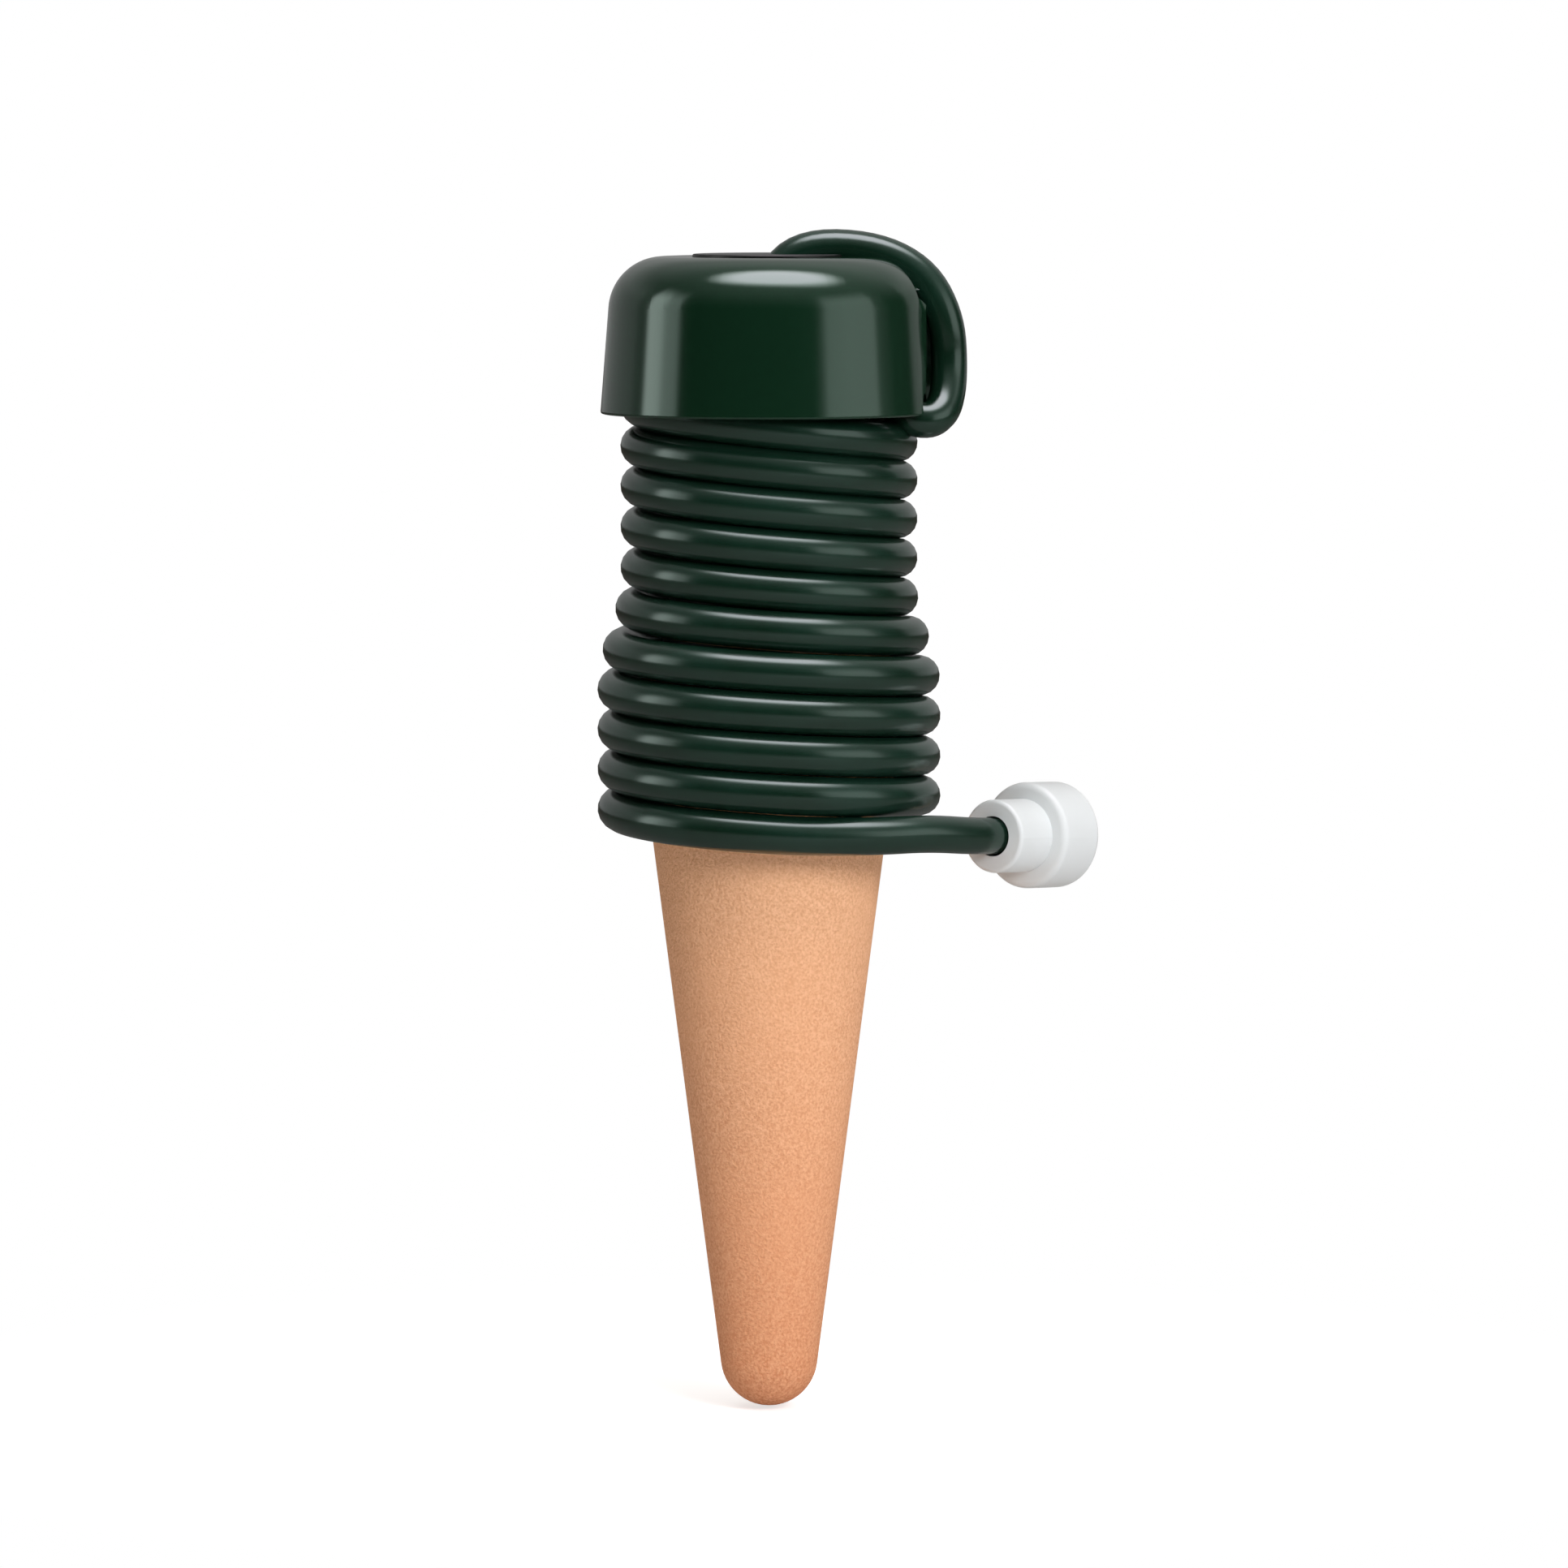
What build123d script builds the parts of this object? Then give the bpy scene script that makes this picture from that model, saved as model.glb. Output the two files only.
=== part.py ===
from build123d import *
import os
from math import acos, asin, atan2, ceil, cos, degrees, hypot, pi, radians, sin, sqrt, tan

# A self watering spike: a hollow porous cone that stands in the soil, a plastic neck glued into
# its mouth, a screw cap that seals it, and one long hose that leaves the cap, passes over its
# side, winds down the neck and the cone, and ends in a white strainer head for the water jar.
# Millimetres, +Z up, origin at the cone's tip. The hose comes down on the +X side, the front is -Y.

# Ceramic cone
ceramic_height = 92.8
shoulder_length = 13.6
shoulder_radius = 15.4
ceramic_wall = 3.4
tip_radius = 5.9
shoulder_fillet = 2.4
mouth_chamfer = 0.4

# Plastic neck and its glue
glue_gap = 0.3
spigot_length = 11.0
neck_wall = 2.2
neck_step = 0.5
neck_height = 41.8
seat_flange_step = 0.7
seat_flange_thickness = 1.2
thread_land = 0.3
thread_land_length = 11.0
neck_edge = 0.4

# Washer in the cap
seal_thickness = 2.0
seal_width = 3.0
seal_side_gap = 0.4

# Cap
cap_plate = 3.4
cap_height = 19.0
skirt_wall = 1.6
skirt_room = 6.6
skirt_draft = 4.4
cap_shoulder = 6.6
cap_inner_shoulder = 2.4
ring_clearance = 0.3
ring_wall = 2.0
ring_length = 11.4
rim_edge = 0.3
ring_edge = 0.5
notch_half_width = 6.1
notch_top_half_width = 1.5
notch_top_drop = 3.9
notch_top_radius = 1.6
notch_corner = 0.7
notch_azimuth = -6.0
notch_ring_gap = 0.4
guide_half_width = 3.6
guide_drop = 3.0
groove_azimuth = -9.0
groove_clearance = 0.2

# Rubber bung that holds the hose in the cap
bung_flange_radius = 9.25
bung_flange_thickness = 1.2
bung_proud = 0.3
bung_stem_radius = 4.6
bung_lip_radius = 6.4
bung_lip_height = 1.4
bung_floor = 1.6
bung_edge = 0.2
bung_side_gap = 0.1
hose_seat_gap = 0.05
hose_seat_depth = 9.4
water_hole_radius = 1.3

# Hose and its winding
hose_diameter = 4.3
upper_slack = 1.2
lower_slack = 0.8
turn_pitch = 4.85
first_turn_drop = 4.65
settled_lean = 0.40
lean_per_turn = 0.11
settled_turn = 6.0
widening_start_turn = 4.2
widening_turns = 2.6
winding_start_azimuth = 34.0
winding_end_azimuth = 285.0
winding_full_turns = 10
arcs_per_turn = 4
tail_first_run = 4.6
fillet_share = 0.45
tangent_step_share = 1e-4

# White strainer head on the hose's end
head_small_radius = 4.45
head_small_length = 6.2
head_large_radius = 6.45
head_large_length = 7.2
head_socket_depth = 5.5
head_socket_gap = 0.3
head_passage_radius = 1.6
head_web = 1.2
head_wall = 1.3
head_small_edge = 0.5
head_large_edge = 0.8
grid_thickness = 1.2
grid_hole_radius = 0.7
grid_hole_circle = 2.9
grid_hole_count = 6
foam_side_gap = 0.1

# One overrun for every cut
overrun = 1.0

# Heights and radii that follow from the sizes above
hose_radius = hose_diameter / 2
taper_height = ceramic_height - shoulder_length
mouth_radius = shoulder_radius - ceramic_wall
spigot_radius = mouth_radius - glue_gap
neck_radius = spigot_radius + neck_step
seat_flange_radius = neck_radius + seat_flange_step
neck_bore_radius = neck_radius - neck_wall
land_radius = neck_radius + thread_land
neck_top = ceramic_height + neck_height
cap_under = neck_top + seal_thickness
cap_top = cap_under + cap_plate
rim_height = cap_top - cap_height
cap_rim_radius = neck_radius + skirt_room + skirt_wall
cap_top_radius = cap_rim_radius - cap_height * tan(radians(skirt_draft))
skirt_inner_radius = cap_rim_radius - skirt_wall
skirt_inner_top_radius = skirt_inner_radius - (cap_under - rim_height) * tan(radians(skirt_draft))
ring_inner_radius = land_radius + ring_clearance
ring_outer_radius = ring_inner_radius + ring_wall
ring_bottom = cap_under - ring_length
upper_radius = neck_radius + upper_slack + hose_radius
lower_radius = shoulder_radius + lower_slack + hose_radius


# Hose route


def lean(turn):
    """How far a turn is raised at its left end and lowered at its right end."""
    return settled_lean + lean_per_turn * max(0, settled_turn - turn)


def winding_point(turn):
    """Centre of the hose at a count of turns, whole where the hose passes the left side."""
    azimuth = 2 * pi * turn + pi
    part = min(max((turn - widening_start_turn) / widening_turns, 0), 1)
    radius = upper_radius + (lower_radius - upper_radius) * part * part * (3 - 2 * part)
    height = rim_height - first_turn_drop - turn_pitch * (turn - 1) - lean(turn) * cos(azimuth)
    return Vector(radius * cos(azimuth), radius * sin(azimuth), height)


def winding_tangent(turn):
    """Direction of the hose at a count of turns."""
    ahead = winding_point(turn + tangent_step_share)
    behind = winding_point(turn - tangent_step_share)
    return (ahead - behind).normalized()


def biarc(start, start_tangent, end, end_tangent):
    """Two arcs that join smoothly from start to end: each one's end points and first tangent."""
    chord = end - start
    both = start_tangent + end_tangent
    opening = 1 - start_tangent.dot(end_tangent)
    along = chord.dot(both)
    reach = (sqrt(along * along + 2 * opening * chord.dot(chord)) - along) / (2 * opening)
    first_corner = start + start_tangent * reach
    second_corner = end - end_tangent * reach
    middle = (first_corner + second_corner) / 2
    return (start, middle, start_tangent), (middle, end, second_corner - first_corner)


def corner_radii(route):
    """The largest fair radius at each corner of a route, and the turn there in degrees."""
    radii = []
    turns = []
    for before, corner, after in zip(route, route[1:], route[2:]):
        run_in = Vector(*corner) - Vector(*before)
        run_out = Vector(*after) - Vector(*corner)
        turn = run_in.get_angle(run_out)
        shorter = min(run_in.length, run_out.length)
        radii.append(fillet_share * shorter / tan(radians(turn / 2)))
        turns.append(turn)
    return radii, turns


# The winding starts on the right, inside the skirt, and ends in front, under the last full turn
winding_start = winding_start_azimuth / 360 - 1 / 2
winding_end = winding_end_azimuth / 360 - 1 / 2 + winding_full_turns
arc_steps = ceil((winding_end - winding_start) * arcs_per_turn)
winding_turns = [
    winding_start + (winding_end - winding_start) * step / arc_steps for step in range(arc_steps + 1)
]
lead_in = winding_point(winding_start) - winding_tangent(winding_start) * hose_diameter
lead_out = winding_point(winding_end) + winding_tangent(winding_end) * hose_diameter

# Corners of the loop's route, from its seat in the bung over the cap's side and in under its rim.
# Sideways they are shares of the cap's rim radius, and up from its top they are shares of its
# height. The last run lies on the line of the winding's first run.
loop_corner_shares = [
    (0.0, 0.0, -0.1579),
    (0.2402, -0.0074, 0.0605),
    (0.7059, -0.1005, 0.0579),
    (1.0049, -0.2863, -0.2363),
    (1.0740, -0.4201, -0.5400),
    (1.0662, -0.4480, -0.8242),
    (0.9642, -0.2814, -1.0147),
    (0.9559, -0.0882, -1.0395),
]
seat_height = cap_top - hose_seat_depth
loop_last_corner = lead_in - winding_tangent(winding_start) * hose_diameter
loop_route = [(0, 0, seat_height)]
for across, forward, up in loop_corner_shares:
    loop_route.append((across * cap_rim_radius, forward * cap_rim_radius, cap_top + up * cap_height))
loop_route.append(tuple(loop_last_corner))
loop_route.append(tuple(lead_in))

# Corners of the tail's route, as steps from the end of its first run, in shares of the hose's
# diameter. That first run lies on the line of the winding's last run.
tail_corner_shares = [
    (1.4186, 0.8023, 0.0465),
    (2.8140, 2.1047, -0.1047),
    (3.9767, 3.5814, -0.1977),
]
tail_start = lead_out + winding_tangent(winding_end) * tail_first_run
tail_route = [tuple(lead_out), tuple(tail_start)]
for step in tail_corner_shares:
    tail_route.append(tuple(tail_start + Vector(*step) * hose_diameter))
loop_radii, loop_turns = corner_radii(loop_route)
tail_radii, tail_turns = corner_radii(tail_route)

# Axis of the strainer head: the hose's end lies on the floor of its socket
hose_end = Vector(*tail_route[-1])
head_axis = (hose_end - Vector(*tail_route[-2])).normalized()
head_plane = Plane(origin=hose_end - head_axis * head_socket_depth, z_dir=head_axis)
head_line = Axis(head_plane.origin, head_axis)
head_length = head_small_length + head_large_length
chamber_start = head_socket_depth + head_web
chamber_radius = head_large_radius - head_wall

os.makedirs("parts", exist_ok=True)

# Ceramic cone: rounded tip, straight taper, short cylinder with a rounded shoulder
taper_rise = taper_height - tip_radius
taper_angle = atan2(shoulder_radius, taper_rise) - asin(tip_radius / hypot(shoulder_radius, taper_rise))
inner_tip_radius = tip_radius - ceramic_wall
outer_tangent = (tip_radius * cos(taper_angle), tip_radius * (1 - sin(taper_angle)))
inner_tangent = (inner_tip_radius * cos(taper_angle), tip_radius - inner_tip_radius * sin(taper_angle))
mouth_floor = inner_tangent[1] + (mouth_radius - inner_tangent[0]) / tan(taper_angle)
tip_arc = 90 - degrees(taper_angle)

with BuildPart() as ceramic_cone:
    with BuildSketch(Plane.XZ):
        with BuildLine():
            CenterArc((0, tip_radius), tip_radius, -90, tip_arc)
            Line(outer_tangent, (shoulder_radius, taper_height))
            Line((shoulder_radius, taper_height), (shoulder_radius, ceramic_height))
            Line((shoulder_radius, ceramic_height), (mouth_radius, ceramic_height))
            Line((mouth_radius, ceramic_height), (mouth_radius, mouth_floor))
            Line((mouth_radius, mouth_floor), inner_tangent)
            CenterArc((0, tip_radius), inner_tip_radius, -90, tip_arc)
            Line((0, tip_radius - inner_tip_radius), (0, 0))
        make_face()
    revolve(axis=Axis.Z)
    top_circles = ceramic_cone.edges().filter_by(GeomType.CIRCLE).group_by(Axis.Z)[-1]
    fillet(top_circles.sort_by(SortBy.RADIUS)[-1], shoulder_fillet)
ceramic_cone.part.label = "ceramic_cone"
export_step(ceramic_cone.part, "parts/ceramic_cone.step")

# Glue between the neck's spigot and the cone's mouth
spigot_bottom = ceramic_height - spigot_length
with BuildPart() as bond_ring:
    with BuildSketch(Plane.XY.offset(spigot_bottom)):
        Circle(mouth_radius)
        Circle(spigot_radius, mode=Mode.SUBTRACT)
    extrude(amount=spigot_length)
bond_ring.part.label = "bond_ring"
export_step(bond_ring.part, "parts/bond_ring.step")

# Plastic neck: spigot, flange that sits on the cone's mouth, tube and land for the cap's thread
flange_top = ceramic_height + seat_flange_thickness
land_bottom = neck_top - thread_land_length
with BuildPart() as neck_collar:
    with BuildSketch(Plane.XY.offset(spigot_bottom)):
        Circle(spigot_radius)
    extrude(amount=spigot_length)
    with BuildSketch(Plane.XY.offset(ceramic_height)):
        Circle(seat_flange_radius)
    extrude(amount=seat_flange_thickness)
    with BuildSketch(Plane.XY.offset(flange_top)):
        Circle(neck_radius)
    extrude(amount=neck_top - flange_top)
    with BuildSketch(Plane.XY.offset(land_bottom)):
        Circle(land_radius)
    extrude(amount=thread_land_length)
    chamfer(neck_collar.faces().sort_by(Axis.Z)[-1].edges(), neck_edge)
    with BuildSketch(Plane.XY.offset(spigot_bottom)):
        Circle(neck_bore_radius)
    extrude(amount=neck_top - spigot_bottom, mode=Mode.SUBTRACT)
    spigot_rim = neck_collar.faces().sort_by(Axis.Z)[0].outer_wire().edges()
    chamfer(spigot_rim, neck_edge)
neck_collar.part.label = "neck_collar"
export_step(neck_collar.part, "parts/neck_collar.step")

# Washer between the neck's rim and the cap's plate
seal_outer_radius = ring_inner_radius - seal_side_gap
with BuildPart() as cap_seal:
    with BuildSketch(Plane.XY.offset(neck_top)):
        Circle(seal_outer_radius)
        Circle(seal_outer_radius - seal_width, mode=Mode.SUBTRACT)
    extrude(amount=seal_thickness)
cap_seal.part.label = "cap_seal"
export_step(cap_seal.part, "parts/cap_seal.step")

# Loop of hose from the bung to the winding
with BuildPart() as hose_loop:
    with BuildLine():
        loop_line = FilletPolyline(*loop_route, radius=loop_radii)
    with BuildSketch(Plane(origin=loop_line @ 0, z_dir=loop_line % 0)):
        Circle(hose_radius)
    sweep()
hose_loop.part.label = "hose_loop"
export_step(hose_loop.part, "parts/hose_loop.step")

# The room that the loop needs in the cap, and in the bung that grips it
with BuildPart() as groove_room:
    with BuildLine():
        groove_line = FilletPolyline(*loop_route, radius=loop_radii)
    with BuildSketch(Plane(origin=groove_line @ 0, z_dir=groove_line % 0)):
        Circle(hose_radius + groove_clearance)
    sweep()
with BuildPart() as seat_room:
    with BuildLine():
        seat_line = FilletPolyline(*loop_route, radius=loop_radii)
    with BuildSketch(Plane(origin=seat_line @ 0, z_dir=seat_line % 0)):
        Circle(hose_radius + hose_seat_gap)
    sweep()

# Cap: drafted skirt, thick plate, inner ring for the neck, notch and groove for the hose
notch_side = Vector(-sin(radians(notch_azimuth)), cos(radians(notch_azimuth)), 0)
notch_out = Vector(cos(radians(notch_azimuth)), sin(radians(notch_azimuth)), 0)
notch_start = ring_outer_radius + notch_ring_gap
notch_plane = Plane(origin=notch_out * notch_start, x_dir=notch_side, z_dir=notch_out)
guide_out = Vector(cos(radians(groove_azimuth)), sin(radians(groove_azimuth)), 0)
guide_side = Vector(-sin(radians(groove_azimuth)), cos(radians(groove_azimuth)), 0)
guide_start = ring_inner_radius + ring_wall / 2
guide_plane = Plane(origin=guide_out * guide_start, x_dir=guide_side, z_dir=guide_out)
recess_depth = bung_flange_thickness - bung_proud

with BuildPart() as cap_shell:
    with BuildSketch(Plane.XZ):
        with BuildLine():
            FilletPolyline(
                (0, cap_top),
                (cap_top_radius, cap_top),
                (cap_rim_radius, rim_height),
                (skirt_inner_radius, rim_height),
                (skirt_inner_top_radius, cap_under),
                (ring_outer_radius, cap_under),
                (ring_outer_radius, ring_bottom),
                (ring_inner_radius, ring_bottom),
                (ring_inner_radius, cap_under),
                (0, cap_under),
                radius=[cap_shoulder, rim_edge, rim_edge, cap_inner_shoulder]
                + [ring_edge / 2, ring_edge, ring_edge, 0],
            )
            Line((0, cap_under), (0, cap_top))
        make_face()
    revolve(axis=Axis.Z)
    with BuildSketch(guide_plane):
        with BuildLine():
            Polyline(
                (-guide_half_width, cap_under - guide_drop),
                (guide_half_width, cap_under - guide_drop),
                (guide_half_width, cap_under),
                (-guide_half_width, cap_under),
                close=True,
            )
        make_face()
    extrude(amount=skirt_inner_top_radius - guide_start)
    with BuildSketch(notch_plane):
        with BuildLine():
            FilletPolyline(
                (-notch_half_width - notch_corner, rim_height - overrun),
                (-notch_half_width - notch_corner, rim_height),
                (-notch_half_width, rim_height),
                (-notch_top_half_width, cap_top - notch_top_drop),
                (notch_top_half_width, cap_top - notch_top_drop),
                (notch_half_width, rim_height),
                (notch_half_width + notch_corner, rim_height),
                (notch_half_width + notch_corner, rim_height - overrun),
                radius=[0, notch_corner, notch_top_radius, notch_top_radius, notch_corner, 0],
            )
            Line(
                (notch_half_width + notch_corner, rim_height - overrun),
                (-notch_half_width - notch_corner, rim_height - overrun),
            )
        make_face()
    extrude(amount=cap_rim_radius - notch_start + overrun, mode=Mode.SUBTRACT)
    with BuildSketch(Plane.XY.offset(cap_top - recess_depth)):
        Circle(bung_flange_radius + bung_side_gap)
    extrude(amount=recess_depth + overrun, mode=Mode.SUBTRACT)
    with BuildSketch(Plane.XY.offset(cap_under - overrun)):
        Circle(bung_stem_radius + bung_side_gap)
    extrude(amount=cap_plate + overrun, mode=Mode.SUBTRACT)
    add(groove_room.part, mode=Mode.SUBTRACT)
cap_shell.part.label = "cap_shell"
export_step(cap_shell.part, "parts/cap_shell.step")

# Bung: flange on the cap, stem through its plate, lip below it, and a stepped seat for the hose
bung_bottom = seat_height - bung_floor
with BuildPart() as hose_bung:
    with BuildSketch(Plane.XY.offset(bung_bottom)):
        Circle(bung_stem_radius)
    extrude(amount=cap_top - recess_depth - bung_bottom)
    with BuildSketch(Plane.XY.offset(cap_under - bung_lip_height)):
        Circle(bung_lip_radius)
    extrude(amount=bung_lip_height)
    with BuildSketch(Plane.XY.offset(cap_top - recess_depth)):
        Circle(bung_flange_radius)
    extrude(amount=bung_flange_thickness)
    fillet(hose_bung.faces().sort_by(Axis.Z)[-1].edges(), bung_edge)
    chamfer(hose_bung.faces().sort_by(Axis.Z)[0].edges(), bung_edge)
    with BuildSketch(Plane.XY.offset(bung_bottom)):
        Circle(water_hole_radius)
    extrude(amount=hose_seat_depth, mode=Mode.SUBTRACT)
    add(seat_room.part, mode=Mode.SUBTRACT)
hose_bung.part.label = "hose_bung"
export_step(hose_bung.part, "parts/hose_bung.step")

# Winding: straight lead-in, biarcs of a quarter turn, straight lead-out
winding_arcs = []
for turn, next_turn in zip(winding_turns, winding_turns[1:]):
    winding_arcs += biarc(
        winding_point(turn), winding_tangent(turn), winding_point(next_turn), winding_tangent(next_turn)
    )
with BuildPart() as hose_winding:
    with BuildLine() as winding_path:
        Line(lead_in, winding_point(winding_start))
        for arc_start, arc_end, arc_tangent in winding_arcs:
            TangentArc(arc_start, arc_end, tangent=arc_tangent)
        Line(winding_point(winding_end), lead_out)
    with BuildSketch(Plane(origin=lead_in, z_dir=winding_tangent(winding_start))):
        Circle(hose_radius)
    sweep()
hose_winding.part.label = "hose_winding"
export_step(hose_winding.part, "parts/hose_winding.step")

# Tail of hose from the winding into the strainer head
with BuildPart() as hose_tail:
    with BuildLine():
        tail_line = FilletPolyline(*tail_route, radius=tail_radii)
    with BuildSketch(Plane(origin=tail_line @ 0, z_dir=tail_line % 0)):
        Circle(hose_radius)
    sweep()
hose_tail.part.label = "hose_tail"
export_step(hose_tail.part, "parts/hose_tail.step")

# Strainer head: stepped cylinder with a socket for the hose, a passage and a chamber
with BuildPart() as filter_body:
    with BuildSketch(head_plane):
        Circle(head_small_radius)
    extrude(amount=head_length)
    with BuildSketch(head_plane.offset(head_small_length)):
        Circle(head_large_radius)
    extrude(amount=head_large_length)
    small_face = filter_body.faces().sort_by(head_line)[0]
    fillet(small_face.edges(), head_small_edge)
    large_edges = filter_body.edges().filter_by(GeomType.CIRCLE).sort_by(SortBy.RADIUS)[-2:]
    fillet(large_edges, head_large_edge)
    with BuildSketch(head_plane):
        Circle(hose_radius + head_socket_gap)
    extrude(amount=head_socket_depth, mode=Mode.SUBTRACT)
    with BuildSketch(head_plane):
        Circle(head_passage_radius)
    extrude(amount=head_length, mode=Mode.SUBTRACT)
    with BuildSketch(head_plane.offset(chamber_start)):
        Circle(chamber_radius)
    extrude(amount=head_length - chamber_start, mode=Mode.SUBTRACT)
filter_body.part.label = "filter_body"
export_step(filter_body.part, "parts/filter_body.step")

# Foam plug between the chamber's floor and the grid
foam_length = head_length - grid_thickness - chamber_start
with BuildPart() as filter_foam:
    with BuildSketch(head_plane.offset(chamber_start)):
        Circle(chamber_radius - foam_side_gap)
    extrude(amount=foam_length)
filter_foam.part.label = "filter_foam"
export_step(filter_foam.part, "parts/filter_foam.step")

# Perforated disc that closes the chamber, flush with the head's end
with BuildPart() as filter_grid:
    with BuildSketch(head_plane.offset(head_length - grid_thickness)):
        Circle(chamber_radius)
        with PolarLocations(grid_hole_circle, grid_hole_count):
            Circle(grid_hole_radius, mode=Mode.SUBTRACT)
    extrude(amount=grid_thickness)
filter_grid.part.label = "filter_grid"
export_step(filter_grid.part, "parts/filter_grid.step")

# Printed proof of the hose: corner radii, least gap of the winding to itself, volumes and lengths
for name, radii, turns in (("loop", loop_radii, loop_turns), ("tail", tail_radii, tail_turns)):
    for radius, turn in zip(radii, turns):
        print(name, "corner of", round(turn, 1), "degrees, radius", round(radius, 2))
steps_per_turn = 48
samples = [
    winding_point(winding_start + step / steps_per_turn)
    for step in range(ceil((winding_end - winding_start) * steps_per_turn))
]
half_turn = steps_per_turn // 2
least_distance = min(
    (far - near).length
    for index, near in enumerate(samples)
    for far in samples[index + half_turn : index + 3 * half_turn]
)
print("winding's least gap to itself", round(least_distance - hose_diameter, 3))
section = pi * hose_radius**2
for name, part, length in (
    ("loop", hose_loop, loop_line.length),
    ("winding", hose_winding, winding_path.wires()[0].length),
    ("tail", hose_tail, tail_line.length),
):
    print(name, "length", round(length, 1), "volume over section", round(part.part.volume / section, 1))
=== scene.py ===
"""Self watering spike: a porous clay cone, a glossy screw cap, a wound hose and a white strainer.

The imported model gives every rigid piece. This file dresses them, lays the hose as one smooth
line, and sets the camera and the studio. Lengths are metres, but for those whose description
says millimetres, which MM converts.
"""

import logging
from dataclasses import dataclass
from enum import Enum
from math import cos, pi, radians, sin

import bpy
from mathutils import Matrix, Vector


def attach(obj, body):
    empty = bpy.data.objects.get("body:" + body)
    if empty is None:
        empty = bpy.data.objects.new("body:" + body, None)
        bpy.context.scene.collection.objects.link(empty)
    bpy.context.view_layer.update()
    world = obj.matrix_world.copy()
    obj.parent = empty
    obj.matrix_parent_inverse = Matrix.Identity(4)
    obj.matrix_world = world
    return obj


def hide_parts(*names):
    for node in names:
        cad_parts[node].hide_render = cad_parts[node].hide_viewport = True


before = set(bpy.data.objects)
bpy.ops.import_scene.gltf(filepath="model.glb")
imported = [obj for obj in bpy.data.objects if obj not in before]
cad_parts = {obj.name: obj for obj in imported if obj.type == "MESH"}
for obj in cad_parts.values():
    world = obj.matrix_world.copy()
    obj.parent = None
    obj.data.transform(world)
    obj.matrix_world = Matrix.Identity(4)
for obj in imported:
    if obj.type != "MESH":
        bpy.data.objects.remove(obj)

MM = 0.001
LOG = logging.getLogger("watering_spike")

Point = tuple[float, float, float]
Colour = tuple[float, float, float, float]
# Two figures that belong together, such as where something starts and where it ends
Pair = tuple[float, float]

WHITE: Colour = (1.0, 1.0, 1.0, 1.0)

# Sockets of the Mix node, whose names repeat for every kind of value that it can mix
FACTOR = 0
NUMBER_A, NUMBER_B = 2, 3
COLOUR_A, COLOUR_B = 6, 7
MIXED_NUMBER, MIXED_COLOUR = 0, 2


def linear(code: str) -> Colour:
    """Turn an sRGB hex colour into the linear colour that shaders take.

    Args:
        code: colour as "#RRGGBB".

    Returns:
        Linear red, green, blue and an alpha of one.
    """
    parts = [int(code[i : i + 2], 16) / 255 for i in (1, 3, 5)]
    # The figures are those of the sRGB standard
    red, green, blue = (p / 12.92 if p <= 0.04045 else ((p + 0.055) / 1.055) ** 2.4 for p in parts)
    return red, green, blue, 1.0


def clamp(value: float) -> float:
    """Keep a value between zero and one."""
    return min(max(value, 0), 1)


def grain(size: float) -> float:
    """Give the noise scale, in cycles per metre, whose grains are about size millimetres wide."""
    # A cycle holds a grain and the dip beside it
    return 1 / (2 * size * MM)


def add_node(
    tree: bpy.types.NodeTree,
    kind: str,
    settings: dict[str | int, object] | None = None,
    links: dict[str | int, bpy.types.NodeSocket] | None = None,
) -> bpy.types.Node:
    """Add a shader node with its settings and links.

    Args:
        tree: node tree that gets the node.
        kind: Blender's name of the node type.
        settings: properties by name, or input values by name or index.
        links: output sockets by the name or index of the input they feed.

    Returns:
        The new node.
    """
    node = tree.nodes.new(kind)
    for key, value in (settings or {}).items():
        if isinstance(key, str) and key in node.bl_rna.properties:
            setattr(node, key, value)
        else:
            node.inputs[key].default_value = value
    for key, socket in (links or {}).items():
        tree.links.new(socket, node.inputs[key])
    return node


@dataclass(frozen=True)
class Finish:
    """What every finish of the spike has in common.

    Attributes:
        name: name of the material.
        colour: main colour as sRGB hex.
        roughness: roughness of the surface.
        ior: index of refraction.
    """

    name: str
    colour: str
    roughness: float
    ior: float = 1.5

    def start(self) -> tuple[bpy.types.Material, bpy.types.NodeTree, bpy.types.Node]:
        """Make the material with its shader.

        Returns:
            The material, its node tree and its Principled shader.
        """
        material = bpy.data.materials.new(self.name)
        material.use_nodes = True
        tree = material.node_tree
        tree.nodes.clear()
        shader = add_node(
            tree,
            "ShaderNodeBsdfPrincipled",
            {"Base Color": linear(self.colour), "Roughness": self.roughness, "IOR": self.ior},
        )
        add_node(tree, "ShaderNodeOutputMaterial", links={"Surface": shader.outputs["BSDF"]})
        return material, tree, shader

    def material(self) -> bpy.types.Material:
        """Make the plain form of the finish."""
        return self.start()[0]


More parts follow.
